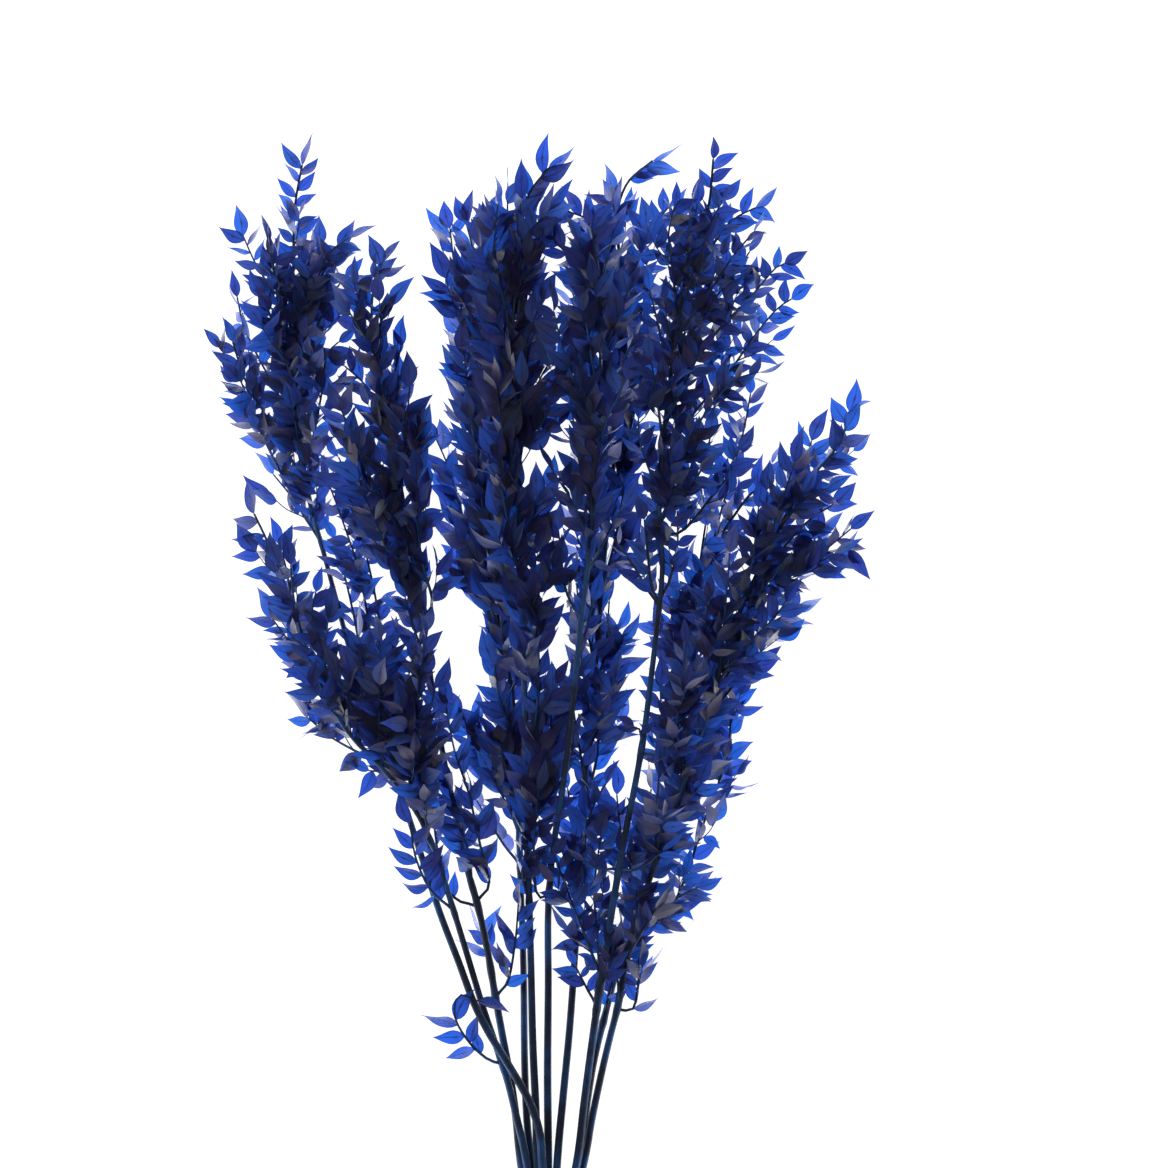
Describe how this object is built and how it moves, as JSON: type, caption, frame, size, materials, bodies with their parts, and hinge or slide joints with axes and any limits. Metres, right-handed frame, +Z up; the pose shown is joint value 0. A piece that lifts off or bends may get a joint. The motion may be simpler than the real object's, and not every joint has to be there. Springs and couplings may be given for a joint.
{
  "type": "dried ruscus bunch",
  "caption": "Tied bunch of dyed dried ruscus stems with small pointed leaves, lying flat and fanned out from its cut ends.",
  "frame": {"origin": "the middle of the tie's flat underside, on the surface the bunch lies on", "axes": "+Y runs from the tie along the stalks to the leafy tips, +Z is straight up off the surface, and +X is across the fan of stems"},
  "size_m": [0.4476, 0.8166, 0.1155],
  "materials": {
    "stem_1": "dry dyed leaves and stalk, dull",
    "stem_2": "dry dyed leaves and stalk, dull",
    "stem_3": "dry dyed leaves and stalk, dull",
    "stem_4": "dry dyed leaves and stalk, dull",
    "stem_5": "dry dyed leaves and stalk, dull",
    "stem_6": "dry dyed leaves and stalk, dull",
    "stem_7": "dry dyed leaves and stalk, dull",
    "stem_8": "dry dyed leaves and stalk, dull",
    "stem_9": "dry dyed leaves and stalk, dull",
    "stem_10": "dry dyed leaves and stalk, dull",
    "tie": "plain tan band, satin"
  },
  "bodies": {
    "root": {"stem_1": "stem_1", "stem_2": "stem_2", "stem_3": "stem_3", "stem_4": "stem_4", "stem_5": "stem_5", "stem_6": "stem_6", "stem_7": "stem_7", "stem_8": "stem_8", "stem_9": "stem_9", "stem_10": "stem_10", "tie": "tie"}
  },
  "joints": []
}
